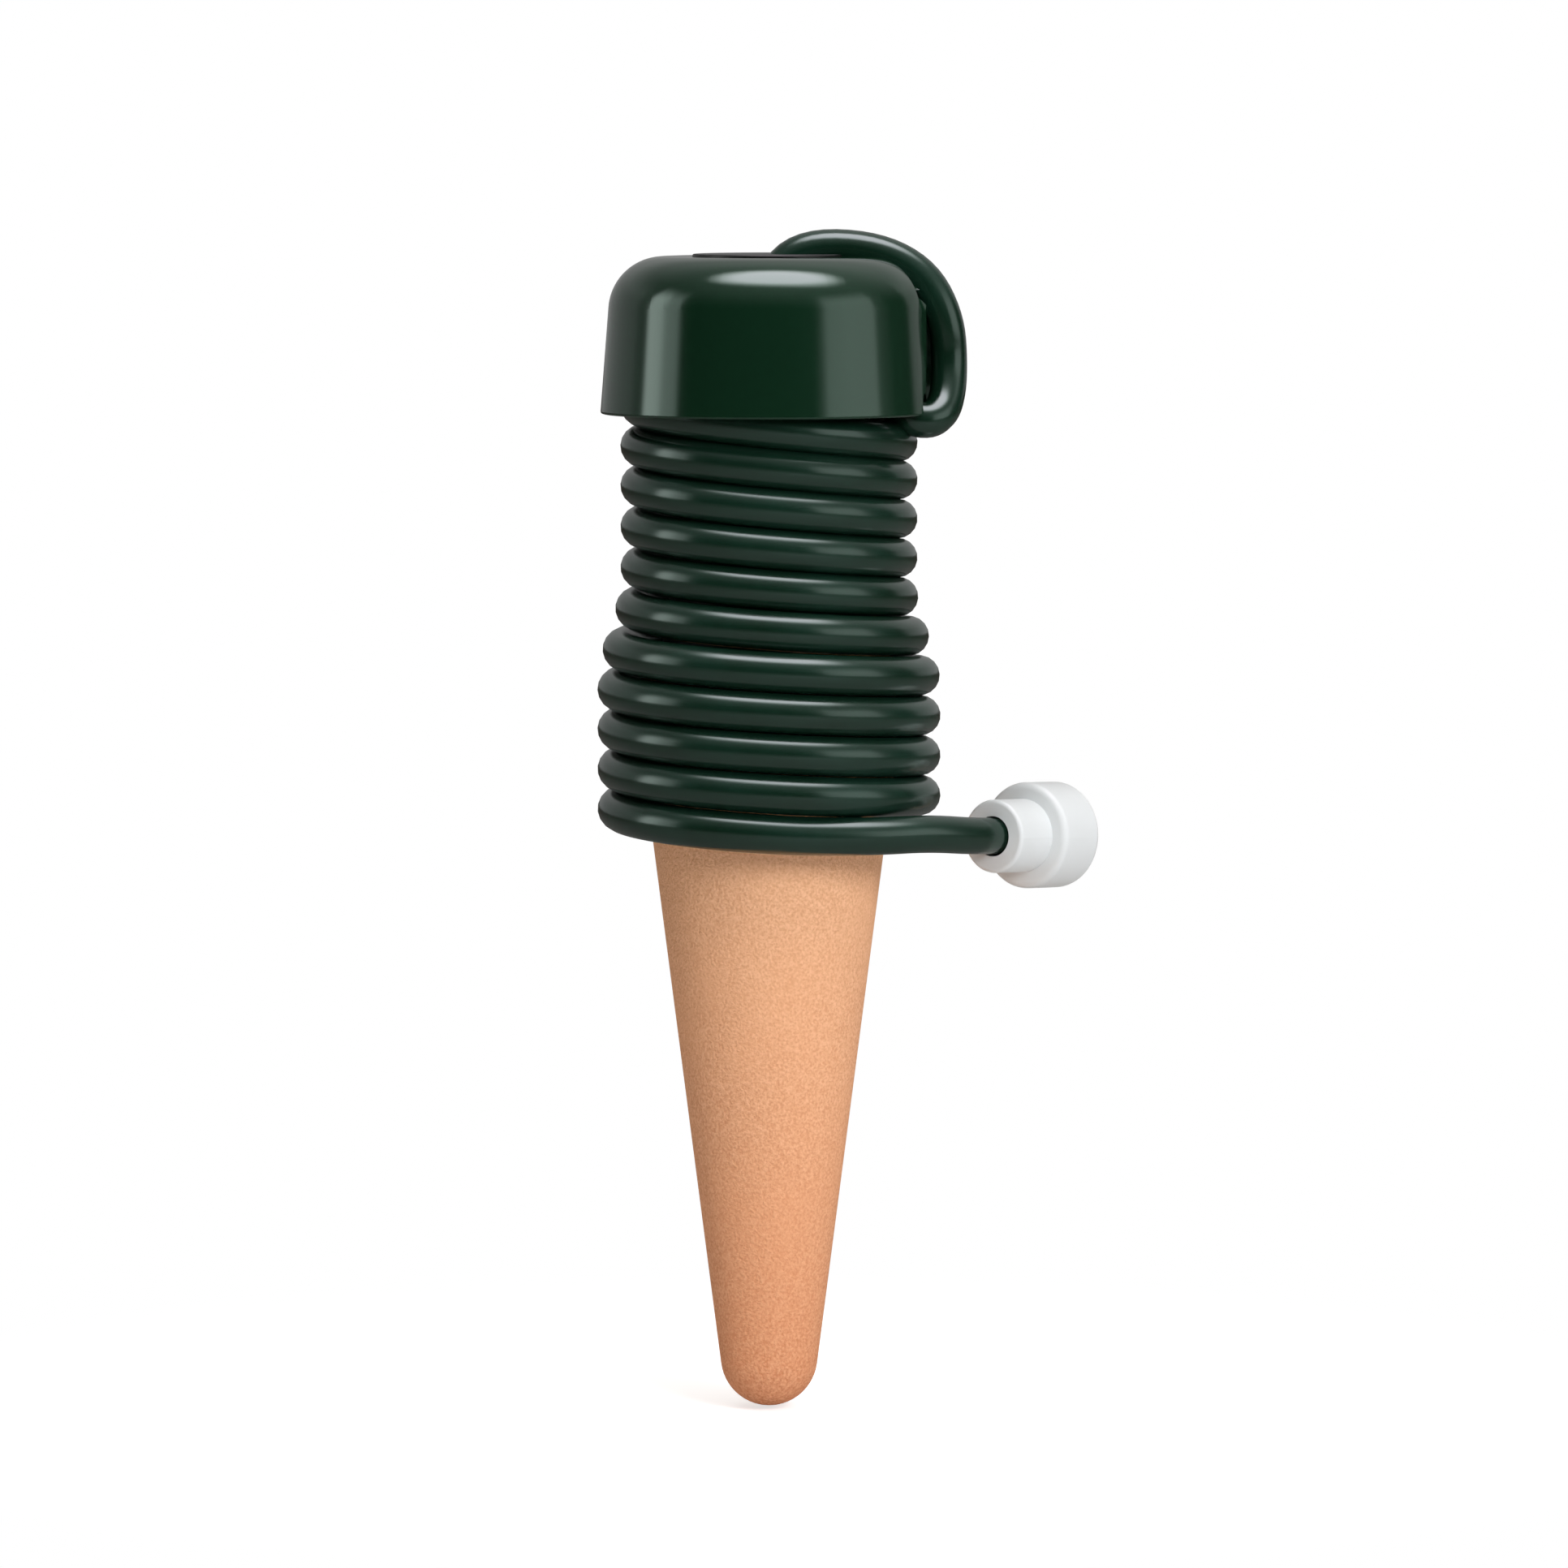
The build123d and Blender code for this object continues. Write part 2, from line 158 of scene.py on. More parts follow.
@dataclass(frozen=True)
class FiredClay(Finish):
    """Unglazed terracotta, slip cast and fired: matt, with a sandy grain that takes side light.

    Attributes:
        pale: colour of the pale grains.
        dark: colour where the grain pattern is lowest: partly the clay's own speckle, partly
            painted shade in the hollows of the relief.
        shaded_low_end: colour of the lower end, darker and redder: painted shade where the light
            from above falls off.
        height: length of the cone, in millimetres.
        low_shade_share: share of that length over which that painted shade fades upwards.
        grit: width of a grain, in millimetres, drawn coarse enough to show.
        grit_levels: levels of the grain pattern that are all pit and all pale grain.
        relief: depth of a pit, in millimetres.
        cloud: width of a patch where the speckle is weaker or stronger, in millimetres.
        cloud_levels: levels of the patch pattern with the weakest and the strongest speckle.
        speckle: weakest and strongest share of the speckle in the colour.
        gloss: level of the shader's reflection, 0.5 being plain; dry clay has next to none.
    """

    pale: str = "#FCD4AE"
    dark: str = "#9C552E"
    shaded_low_end: str = "#E69A6E"
    height: float = 92.8
    low_shade_share: float = 0.7
    grit: float = 0.17
    grit_levels: Pair = (0.34, 0.66)
    relief: float = 0.2
    cloud: float = 9.0
    cloud_levels: Pair = (0.3, 0.7)
    speckle: Pair = (0.16, 0.34)
    gloss: float = 0.1

    def material(self) -> bpy.types.Material:
        """Make the clay, with painted shade at its lower end, speckled colour with painted shade in
        the hollows, and a bump of the same grains.
        """
        material, tree, shader = self.start()
        shader.inputs["Specular IOR Level"].default_value = self.gloss
        place = add_node(tree, "ShaderNodeTexCoord").outputs["Object"]
        fine = add_node(
            tree,
            "ShaderNodeTexNoise",
            {"Scale": grain(self.grit), "Detail": 2.0, "Roughness": 0.6},
            {"Vector": place},
        )
        patches = add_node(
            tree,
            "ShaderNodeTexNoise",
            {"Scale": grain(self.cloud), "Detail": 2.0, "Roughness": 0.5},
            {"Vector": place},
        )
        level = add_node(tree, "ShaderNodeSeparateXYZ", links={"Vector": place})
        # Painted shade: the colour darkens and reddens towards the lower end, where the light from
        # above falls off
        low_shade_top = self.height * MM * self.low_shade_share
        lower = add_node(
            tree,
            "ShaderNodeMapRange",
            {"From Min": 0.0, "From Max": low_shade_top, "To Min": 1.0, "To Max": 0.0},
            {"Value": level.outputs["Z"]},
        )
        painted_low_shade = add_node(
            tree,
            "ShaderNodeMix",
            {"data_type": "RGBA", COLOUR_A: linear(self.colour), COLOUR_B: linear(self.shaded_low_end)},
            {FACTOR: lower.outputs["Result"]},
        )
        # Partly the clay's own speckle, partly painted shade: the hollows that the bump sinks get
        # the dark colour
        pit_shade_mask = add_node(
            tree,
            "ShaderNodeMapRange",
            {"From Min": self.grit_levels[0], "From Max": self.grit_levels[1]},
            {"Value": fine.outputs["Fac"]},
        )
        grains = add_node(
            tree,
            "ShaderNodeMix",
            {"data_type": "RGBA", COLOUR_A: linear(self.dark), COLOUR_B: linear(self.pale)},
            {FACTOR: pit_shade_mask.outputs["Result"]},
        )
        share = add_node(
            tree,
            "ShaderNodeMapRange",
            {
                "From Min": self.cloud_levels[0],
                "From Max": self.cloud_levels[1],
                "To Min": self.speckle[0],
                "To Max": self.speckle[1],
            },
            {"Value": patches.outputs["Fac"]},
        )
        clay = add_node(
            tree,
            "ShaderNodeMix",
            {"data_type": "RGBA"},
            {
                FACTOR: share.outputs["Result"],
                COLOUR_A: painted_low_shade.outputs[MIXED_COLOUR],
                COLOUR_B: grains.outputs[MIXED_COLOUR],
            },
        )
        tree.links.new(clay.outputs[MIXED_COLOUR], shader.inputs["Base Color"])
        bump = add_node(
            tree,
            "ShaderNodeBump",
            {"Strength": 1.0, "Distance": self.relief * MM},
            {"Height": fine.outputs["Fac"]},
        )
        tree.links.new(bump.outputs["Normal"], shader.inputs["Normal"])
        return material


@dataclass(frozen=True)
class MouldedPlastic(Finish):
    """Injection moulded plastic or rubber: an even colour under a skin with a very slight ripple.

    Attributes:
        ripple: width of a ripple in the skin, in millimetres.
        depth: depth of a ripple, in millimetres.
        spread: least and most roughness over the ripples, as shares of the roughness.
        gloss: level of the shader's reflection, 0.5 being plain.
        tint: colour of that reflection.
    """

    ripple: float = 6.0
    depth: float = 0.004
    spread: Pair = (0.9, 1.15)
    gloss: float = 0.5
    tint: str = "#FFFFFF"

    def material(self) -> bpy.types.Material:
        """Make the plastic, with the faint ripple of a moulded skin in its reflections."""
        material, tree, shader = self.start()
        shader.inputs["Specular IOR Level"].default_value = self.gloss
        shader.inputs["Specular Tint"].default_value = linear(self.tint)
        place = add_node(tree, "ShaderNodeTexCoord").outputs["Object"]
        ripple = add_node(
            tree,
            "ShaderNodeTexNoise",
            {"Scale": grain(self.ripple), "Detail": 1.0},
            {"Vector": place},
        )
        bump = add_node(
            tree,
            "ShaderNodeBump",
            {"Strength": 1.0, "Distance": self.depth * MM},
            {"Height": ripple.outputs["Fac"]},
        )
        tree.links.new(bump.outputs["Normal"], shader.inputs["Normal"])
        least, most = (self.roughness * share for share in self.spread)
        tone = add_node(
            tree,
            "ShaderNodeMapRange",
            {"To Min": least, "To Max": most},
            {"Value": ripple.outputs["Fac"]},
        )
        tree.links.new(tone.outputs["Result"], shader.inputs["Roughness"])
        return material


@dataclass(frozen=True)
class SoftVinyl(Finish):
    """Extruded soft vinyl hose: satin, with a hazy skin and faint cloudy smears of plasticiser.

    Attributes:
        haze: colour where the skin is hazier.
        smear: length of a cloudy smear, in millimetres.
        smear_levels: levels of the smear pattern that are clear and fully hazy.
        spread: least and most roughness over the smears, as shares of the roughness.
        pore: width of the skin's fine texture, in millimetres.
        relief: depth of that texture, in millimetres.
        relief_share: how strongly that texture turns the light.
        gloss: level of the shader's reflection, 0.5 being plain.
        tint: colour of that reflection.
    """

    haze: str = "#10291F"
    smear: float = 7.0
    smear_levels: Pair = (0.35, 0.7)
    spread: Pair = (0.85, 1.25)
    pore: float = 0.5
    relief: float = 0.01
    relief_share: float = 0.35
    gloss: float = 0.85
    tint: str = "#E8FFF6"

    def material(self) -> bpy.types.Material:
        """Make the vinyl, with cloudy smears in its colour and gloss and a fine skin texture."""
        material, tree, shader = self.start()
        shader.inputs["Specular IOR Level"].default_value = self.gloss
        shader.inputs["Specular Tint"].default_value = linear(self.tint)
        place = add_node(tree, "ShaderNodeTexCoord").outputs["Object"]
        smears = add_node(
            tree,
            "ShaderNodeTexNoise",
            {"Scale": grain(self.smear), "Detail": 3.0, "Roughness": 0.55},
            {"Vector": place},
        )
        hazy = add_node(
            tree,
            "ShaderNodeMapRange",
            {"From Min": self.smear_levels[0], "From Max": self.smear_levels[1]},
            {"Value": smears.outputs["Fac"]},
        )
        colour = add_node(
            tree,
            "ShaderNodeMix",
            {"data_type": "RGBA", COLOUR_A: linear(self.colour), COLOUR_B: linear(self.haze)},
            {FACTOR: hazy.outputs["Result"]},
        )
        tree.links.new(colour.outputs[MIXED_COLOUR], shader.inputs["Base Color"])
        least, most = (self.roughness * share for share in self.spread)
        sheen = add_node(
            tree,
            "ShaderNodeMapRange",
            {"To Min": least, "To Max": most},
            {"Value": smears.outputs["Fac"]},
        )
        tree.links.new(sheen.outputs["Result"], shader.inputs["Roughness"])
        skin = add_node(
            tree,
            "ShaderNodeTexNoise",
            {"Scale": grain(self.pore), "Detail": 2.0},
            {"Vector": place},
        )
        bump = add_node(
            tree,
            "ShaderNodeBump",
            {"Strength": self.relief_share, "Distance": self.relief * MM},
            {"Height": skin.outputs["Fac"]},
        )
        tree.links.new(bump.outputs["Normal"], shader.inputs["Normal"])
        return material


@dataclass(frozen=True)
class OpenCellFoam(Finish):
    """Open cell foam: grey, dull and full of small round cells, their deep middles darkened by
    painted shade.

    Attributes:
        wall: colour of the cell walls.
        cell: width of a cell, in millimetres.
        edge: distance from its wall at which a cell is deepest, as a share of its width.
        relief: depth of a cell, in millimetres.
    """

    wall: str = "#6A6F70"
    cell: float = 0.6
    edge: float = 0.25
    relief: float = 0.25

    def material(self) -> bpy.types.Material:
        """Make the foam from cells with pale walls and middles darkened by painted shade."""
        material, tree, shader = self.start()
        place = add_node(tree, "ShaderNodeTexCoord").outputs["Object"]
        cells = add_node(
            tree,
            "ShaderNodeTexVoronoi",
            {"Scale": 1 / (self.cell * MM), "feature": "DISTANCE_TO_EDGE"},
            {"Vector": place},
        )
        depth = add_node(
            tree,
            "ShaderNodeMapRange",
            {"From Min": 0.0, "From Max": self.edge},
            {"Value": cells.outputs["Distance"]},
        )
        # Painted shade: each cell darkens from its pale wall to its deep middle
        colour = add_node(
            tree,
            "ShaderNodeMix",
            {"data_type": "RGBA", COLOUR_A: linear(self.wall), COLOUR_B: linear(self.colour)},
            {FACTOR: depth.outputs["Result"]},
        )
        tree.links.new(colour.outputs[MIXED_COLOUR], shader.inputs["Base Color"])
        bump = add_node(
            tree,
            "ShaderNodeBump",
            {"Strength": 1.0, "Distance": self.relief * MM, "invert": True},
            {"Height": depth.outputs["Result"]},
        )
        tree.links.new(bump.outputs["Normal"], shader.inputs["Normal"])
        return material


def dress(node: str, material: bpy.types.Material) -> None:
    """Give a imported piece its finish.

    Args:
        node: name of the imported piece.
        material: finish for the whole piece.
    """
    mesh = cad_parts[node].data
    mesh.materials.clear()
    mesh.materials.append(material)
    LOG.info("%s dressed in %s", node, material.name)


@dataclass(frozen=True)
class Hose:
    """The one hose: up out of the bung, over the cap's side, round neck and cone, to the strainer.

    Sizes are millimetres, except for the real length. A count of turns is whole at the left side,
    and grows downwards.

    Attributes:
        vinyl: finish of the hose.
        length: real length from the bung's top to the strainer's socket, in metres; not used.
        diameter: outer diameter of the wound turns.
        free_share: diameter at the free ends over that of the turns, which are pressed flat.
        taper_points: control points over which a free end grows to the turns' diameter.
        section_detail: detail of the round section, as Blender counts it.
        line_detail: steps of the line from one control point to the next.
        first_turn: count of turns where the winding starts.
        last_turn: count of turns where the winding ends.
        points_per_turn: control points in each turn.
        neck_radius: radius of the centre line round the neck.
        step: how much larger that radius is round the cone.
        step_start: count of turns where the radius starts to grow.
        step_turns: turns over which it grows.
        top: height of the winding's centre at a count of zero.
        pitch: height of one turn.
        lean: rise of a turn's left side, and drop of its right side, from its middle.
        extra_lean: what each turn above the even ones adds to that.
        even_turn: count of turns from which all turns lean alike.
        sink: drop of the first turn.
        sink_end: count of turns where that drop is over.
        sink_turns: turns over which it goes back to nothing.
        loop: route from the bung to the winding.
        tail: route from the winding into the strainer's socket.
    """

    vinyl: SoftVinyl = SoftVinyl("hose_vinyl_green", "#0B2015", 0.21, 1.52)
    length: float = 1.22
    diameter: float = 4.82
    free_share: float = 0.912
    taper_points: int = 6
    section_detail: int = 7
    line_detail: int = 6
    first_turn: float = 14 / 360 - 1 / 2
    last_turn: float = 285 / 360 - 1 / 2 + 10
    points_per_turn: int = 24
    neck_radius: float = 15.58
    step: float = 2.82
    step_start: float = 4.2
    step_turns: float = 2.6
    top: float = 121.2
    pitch: float = 4.85
    lean: float = 0.40
    extra_lean: float = 0.11
    even_turn: float = 6
    sink: float = 0.22
    sink_end: float = 1.6
    sink_turns: float = 0.9
    loop: tuple[Point, ...] = (
        (0.0, 0.0, 130.6),
        (0.0, 0.0, 137.0),
        (3.8, -0.3, 141.2),
        (12.6, -0.4, 141.0),
        (18.6, -0.6, 138.0),
        (21.45, -1.4, 132.6),
        (21.85, -0.9, 127.0),
        (21.5, -3.0, 122.5),
        (20.0, -5.1, 120.45),
        (17.6, -5.7, 120.4),
        (15.3, -4.3, 121.9),
        (14.8, -1.2, 123.1),
    )
    tail: tuple[Point, ...] = (
        (13.33, -15.43, 71.0),
        (19.43, -11.98, 71.05),
        (25.43, -6.38, 70.17),
        (30.43, -0.03, 69.77),
    )

    def turn_point(self, turn: float) -> Point:
        """Give a control point of the winding.

        Args:
            turn: count of turns.

        Returns:
            The point, in millimetres.
        """
        angle = 2 * pi * turn + pi
        part = clamp((turn - self.step_start) / self.step_turns)
        radius = self.neck_radius + self.step * part * part * (3 - 2 * part)
        # A control point lies outside the line that it pulls, by this share of the radius
        reach = radius / cos(pi / self.points_per_turn)
        lean = self.lean + self.extra_lean * max(0, self.even_turn - turn)
        sink = self.sink * clamp((self.sink_end - turn) / self.sink_turns)
        level = self.top - self.pitch * turn - lean * cos(angle) - sink
        return reach * cos(angle), reach * sin(angle), level

    def route(self) -> list[Point]:
        """Give the whole hose's control points, in millimetres."""
        turns = self.last_turn - self.first_turn
        steps = round(turns * self.points_per_turn)
        winding = [
            self.turn_point(self.first_turn + turns * step / steps) for step in range(steps + 1)
        ]
        return [*self.loop, *winding, *self.tail]

    def share(self, index: int, count: int) -> float:
        """Give the diameter's share at a control point: full on the turns, less at the free ends.

        Args:
            index: number of the control point.
            count: how many control points there are.

        Returns:
            The share of the turns' diameter.
        """
        # The upper end starts to grow where the winding starts, the lower one at its very tip
        inside = min(index - len(self.loop), count - 1 - index)
        return self.free_share + (1 - self.free_share) * clamp(inside / self.taper_points)

    def build(self) -> None:
        """Lay the hose as one smooth line."""
        material = self.vinyl.material()
        route = self.route()
        curve = bpy.data.curves.new("hose", "CURVE")
        curve.dimensions = "3D"
        curve.bevel_depth = self.diameter / 2 * MM
        curve.bevel_resolution = self.section_detail
        curve.resolution_u = self.line_detail
        curve.use_fill_caps = True
        spline = curve.splines.new("NURBS")
        spline.points.add(len(route) - 1)
        for index, (point, place) in enumerate(zip(spline.points, route)):
            point.co = (*(value * MM for value in place), 1.0)
            point.radius = self.share(index, len(route))
        # Set before the points, these two would leave the spline at order 2, which is straight runs
        spline.order_u = 3
        spline.use_endpoint_u = True
        curve.materials.append(material)
        hose = bpy.data.objects.new("hose", curve)
        bpy.context.scene.collection.objects.link(hose)
        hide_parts("hose_loop", "hose_winding", "hose_tail")
        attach(hose, "cap")
        LOG.info("hose laid over %d points", len(route))


@dataclass(frozen=True)
class Spike:
    """The standing part: clay cone, glue and plastic neck.

    Attributes:
        clay: finish of the cone, fired terracotta: pale, dry and sandy.
        neck: finish of the neck, moulded polypropylene: dark, with a satin skin.
        glue: finish of the glue, cured epoxy: even and dull.
    """

    clay: FiredClay = FiredClay("fired_terracotta", "#F5BA8E", 0.8, 1.5)
    neck: MouldedPlastic = MouldedPlastic("neck_polypropylene", "#141A17", 0.35, 1.49)
    glue: Finish = Finish("epoxy_glue", "#8C8470", 0.6, 1.5)

    def build(self) -> None:
        """Dress the cone, the neck and the glue."""
        dress("ceramic_cone", self.clay.material())
        dress("neck_collar", self.neck.material())
        dress("bond_ring", self.glue.material())


@dataclass(frozen=True)
class Cap:
    """The screw cap with its washer and the bung that grips the hose.

    Attributes:
        shell: finish of the cap, ABS from a polished mould: it mirrors the lamps sharply.
        washer: finish of the washer, moulded rubber: black and dull.
        bung: finish of the bung, moulded rubber: black, with a soft gloss.
    """

    shell: MouldedPlastic = MouldedPlastic(
        "cap_abs", "#0C2416", 0.12, 1.52, ripple=9.0, gloss=0.85, tint="#E4FFF3"
    )
    washer: MouldedPlastic = MouldedPlastic("washer_rubber", "#0B0B0B", 0.55, 1.52, ripple=1.0)
    bung: MouldedPlastic = MouldedPlastic("bung_rubber", "#0A0C0B", 0.4, 1.52, ripple=1.5)

    def build(self) -> None:
        """Dress the cap, the washer and the bung."""
        dress("cap_shell", self.shell.material())
        dress("cap_seal", self.washer.material())
        dress("hose_bung", self.bung.material())


@dataclass(frozen=True)
class Strainer:
    """The white head on the hose's end, with its foam and grid.

    Attributes:
        head: finish of the head and the grid, moulded polypropylene: white and satin.
        foam: finish of the foam: grey, dull and open.
    """

    head: MouldedPlastic = MouldedPlastic("head_polypropylene", "#DADDDD", 0.42, 1.49, ripple=2.5)
    # The foam's colour is the painted shade at its cells' middles; its walls are grey
    foam: OpenCellFoam = OpenCellFoam("filter_foam_grey", "#1C1E1F", 0.9, 1.4)

    def build(self) -> None:
        """Dress the head, the grid and the foam."""
        white = self.head.material()
        dress("filter_body", white)
        dress("filter_grid", white)
        dress("filter_foam", self.foam.material())


@dataclass(frozen=True)
class Camera:
    """The camera, at the photograph's viewing angle.

    Attributes:
        lens: focal length, in millimetres.
        sensor: width of the sensor, in millimetres.
        place: where it stands.
        tilt: how far it looks down, in degrees.
        nearest: least distance that it shows.
        farthest: greatest distance that it shows.
    """

    lens: float = 199.2
    sensor: float = 36.0
    place: Point = (0.00182, -1.05, 0.1603)
    tilt: float = 4.588
    nearest: float = 0.01
    farthest: float = 50.0

    def build(self) -> None:
        """Set the camera up, and make it the scene's one."""
        data = bpy.data.cameras.new("camera")
        data.sensor_fit = "HORIZONTAL"
        data.sensor_width = self.sensor
        data.lens = self.lens
        data.clip_start = self.nearest
        data.clip_end = self.farthest
        camera = bpy.data.objects.new("camera", data)
        camera.location = self.place
        camera.rotation_euler = (radians(90 - self.tilt), 0.0, 0.0)
        bpy.context.scene.collection.objects.link(camera)
        bpy.context.scene.camera = camera


@dataclass(frozen=True)
class Floor:
    """The pale floor: it keeps the spike's shadow, and goes over into the white surround.

    Attributes:
        half: half its width.
        gap: how far it lies below the spike's tip, in millimetres.
        paint: its colour.
        mirrored: its colour in glossy surfaces.
        lift: glow that brings it near to white for the camera.
        fade: distances from the spike where it starts to go over to white and where it is white.
    """

    half: float = 6.0
    gap: float = 0.4
    paint: str = "#E9E9E9"
    mirrored: str = "#8C8C8C"
    lift: float = 0.66
    fade: Pair = (0.02, 0.12)

    def material(self) -> bpy.types.Material:
        """Make the floor's paint."""
        material = bpy.data.materials.new("pale_floor_paint")
        material.use_nodes = True
        tree = material.node_tree
        tree.nodes.clear()
        seen = add_node(tree, "ShaderNodeLightPath")
        place = add_node(tree, "ShaderNodeTexCoord").outputs["Object"]
        distance = add_node(tree, "ShaderNodeVectorMath", {"operation": "LENGTH"}, {0: place})
        shade = add_node(
            tree,
            "ShaderNodeMix",
            {"data_type": "RGBA", COLOUR_A: linear(self.paint), COLOUR_B: linear(self.mirrored)},
            {FACTOR: seen.outputs["Is Glossy Ray"]},
        )
        paint = add_node(
            tree, "ShaderNodeBsdfDiffuse", links={"Color": shade.outputs[MIXED_COLOUR]}
        )
        lift = add_node(tree, "ShaderNodeEmission", {"Color": WHITE, "Strength": self.lift})
        near = add_node(
            tree,
            "ShaderNodeAddShader",
            links={0: paint.outputs["BSDF"], 1: lift.outputs["Emission"]},
        )
        far = add_node(tree, "ShaderNodeEmission", {"Color": WHITE, "Strength": 1.0})
        fade = add_node(
            tree,
            "ShaderNodeMapRange",
            {
                "interpolation_type": "SMOOTHSTEP",
                "From Min": self.fade[0],
                "From Max": self.fade[1],
            },
            {"Value": distance.outputs["Value"]},
        )
        shown = add_node(
            tree,
            "ShaderNodeMixShader",
            links={
                0: fade.outputs["Result"],
                1: near.outputs["Shader"],
                2: far.outputs["Emission"],
            },
        )
        surface = add_node(
            tree,
            "ShaderNodeMixShader",
            links={
                0: seen.outputs["Is Camera Ray"],
                1: paint.outputs["BSDF"],
                2: shown.outputs["Shader"],
            },
        )
        add_node(tree, "ShaderNodeOutputMaterial", links={"Surface": surface.outputs["Shader"]})
        return material

    def build(self) -> None:
        """Lay the floor."""
        mesh = bpy.data.meshes.new("floor")
        half = self.half
        corners = [(-half, -half, 0.0), (half, -half, 0.0), (half, half, 0.0), (-half, half, 0.0)]
        mesh.from_pydata(corners, [], [(0, 1, 2, 3)])
        floor = bpy.data.objects.new("floor", mesh)
        floor.location.z = -self.gap * MM
        bpy.context.scene.collection.objects.link(floor)
        mesh.materials.append(self.material())


@dataclass(frozen=True)
class Surround:
    """The world: white to the camera, an even light on the spike, and a lit studio to gloss.

    A direction is a line of length one from the spike: X to the right, Y to the back, Z up.

    Attributes:
        fill: strength of the even light.
        fill_colour: colour of the even light.
        banks: side, in degrees from the front, and radiance of the upright banks of lamps.
        brightest: highest radiance of the banks.
        bank_fade: Z of a direction where the banks start to fade and where they end.
        ceiling: radiance of the lit ceiling.
        ceiling_rise: Z of a direction where the ceiling starts and where it is at its full.
        ceiling_across: X of a direction between which the ceiling brightens to the right.
        ceiling_sides: the ceiling's shares at those two.
        ceiling_back: Y of a direction between which the ceiling brightens to the back.
        ceiling_ends: the ceiling's shares at those two.
        oval: radiance at the middle of the overhead lamp, an oval.
        oval_colour: colour of the overhead lamp.
        oval_half: half the oval's width and depth, as X and Y of a direction.
        oval_middle: the oval's middle, as X and Y of a direction.
        oval_fade: shares of the oval's half sizes where it starts to fade and where it ends.
        oval_floor: Z of a direction under which the oval doesn't show.
    """

    fill: float = 0.17
    fill_colour: str = "#FFE8D2"
    banks: tuple[Pair, ...] = (
        (-180, 0.35),
        (-128, 0.35),
        (-112, 0.33),
        (-103, 0.16),
        (-98, 0.2),
        (-94.5, 2.5),
        (-83.5, 2.3),
        (-78.5, 1.3),
        (-68.5, 1.1),
        (-64.5, 0.05),
        (-58, 0.0),
        (33, 0.0),
        (38, 0.3),
        (42, 1.05),
        (60, 1.15),
        (80, 1.05),
        (84, 0.25),
        (98, 0.03),
        (116, 0.02),
        (123, 0.36),
        (150, 0.42),
        (180, 0.35),
    )
    brightest: float = 2.5
    bank_fade: Pair = (0.33, 0.68)
    ceiling: float = 0.34
    ceiling_rise: Pair = (0.2, 0.95)
    ceiling_across: Pair = (-0.8, 0.8)
    ceiling_sides: Pair = (0.6, 1.3)
    ceiling_back: Pair = (0.0, 0.95)
    ceiling_ends: Pair = (1.0, 2.4)
    oval: float = 6.6
    oval_colour: str = "#FFEEFC"
    oval_half: Pair = (0.52, 0.38)
    oval_middle: Pair = (0.06, -0.12)
    oval_fade: Pair = (0.55, 1.12)
    oval_floor: float = 0.2

    def bank_light(
        self, tree: bpy.types.NodeTree, parts: bpy.types.Node
    ) -> bpy.types.NodeSocket:
        """Make the upright banks of lamps, whose brightness goes by the side they stand on.

        Args:
            tree: node tree of the world.
            parts: node that gives the direction's X, Y and Z.

        Returns:
            Their radiance.
        """
        front = add_node(
            tree, "ShaderNodeMath", {"operation": "MULTIPLY", 1: -1.0}, {0: parts.outputs["Y"]}
        )
        side = add_node(
            tree,
            "ShaderNodeMath",
            {"operation": "ARCTAN2"},
            {0: parts.outputs["X"], 1: front.outputs["Value"]},
        )
        place = add_node(
            tree,
            "ShaderNodeMapRange",
            {"From Min": -pi, "From Max": pi},
            {"Value": side.outputs["Value"]},
        )
        banks = add_node(tree, "ShaderNodeValToRGB", links={"Fac": place.outputs["Result"]})
        stops = banks.color_ramp.elements
        for index, (azimuth, radiance) in enumerate(self.banks):
            where = azimuth / 360 + 0.5
            # A new ramp comes with two stops
            stop = stops[index] if index < 2 else stops.new(where)
            stop.position = where
            grey = radiance / self.brightest
            stop.color = (grey, grey, grey, 1.0)
        low = add_node(
            tree,
            "ShaderNodeMapRange",
            {
                "interpolation_type": "SMOOTHSTEP",
                "From Min": self.bank_fade[0],
                "From Max": self.bank_fade[1],
                "To Min": self.brightest,
                "To Max": 0.0,
            },
            {"Value": parts.outputs["Z"]},
        )
        upright = add_node(
            tree,
            "ShaderNodeMath",
            {"operation": "MULTIPLY"},
            {0: banks.outputs["Color"], 1: low.outputs["Result"]},
        )
        return upright.outputs["Value"]

    def ceiling_light(
        self, tree: bpy.types.NodeTree, parts: bpy.types.Node
    ) -> bpy.types.NodeSocket:
        """Make the lit ceiling, which is brighter towards the right and the back.

        Args:
            tree: node tree of the world.
            parts: node that gives the direction's X, Y and Z.

        Returns:
            Its radiance.
        """
        above, across, behind = (
            add_node(
                tree,
                "ShaderNodeMapRange",
                {
                    "interpolation_type": course,
                    "From Min": reach[0],
                    "From Max": reach[1],
                    "To Min": shares[0],
                    "To Max": shares[1],
                },
                {"Value": parts.outputs[axis]},
            )
            for axis, course, reach, shares in (
                ("Z", "SMOOTHSTEP", self.ceiling_rise, (0.0, self.ceiling)),
                ("X", "LINEAR", self.ceiling_across, self.ceiling_sides),
                ("Y", "SMOOTHSTEP", self.ceiling_back, self.ceiling_ends),
            )
        )
        light = above.outputs["Result"]
        for share in (across, behind):
            light = add_node(
                tree,
                "ShaderNodeMath",
                {"operation": "MULTIPLY"},
                {0: light, 1: share.outputs["Result"]},
            ).outputs["Value"]
        return light

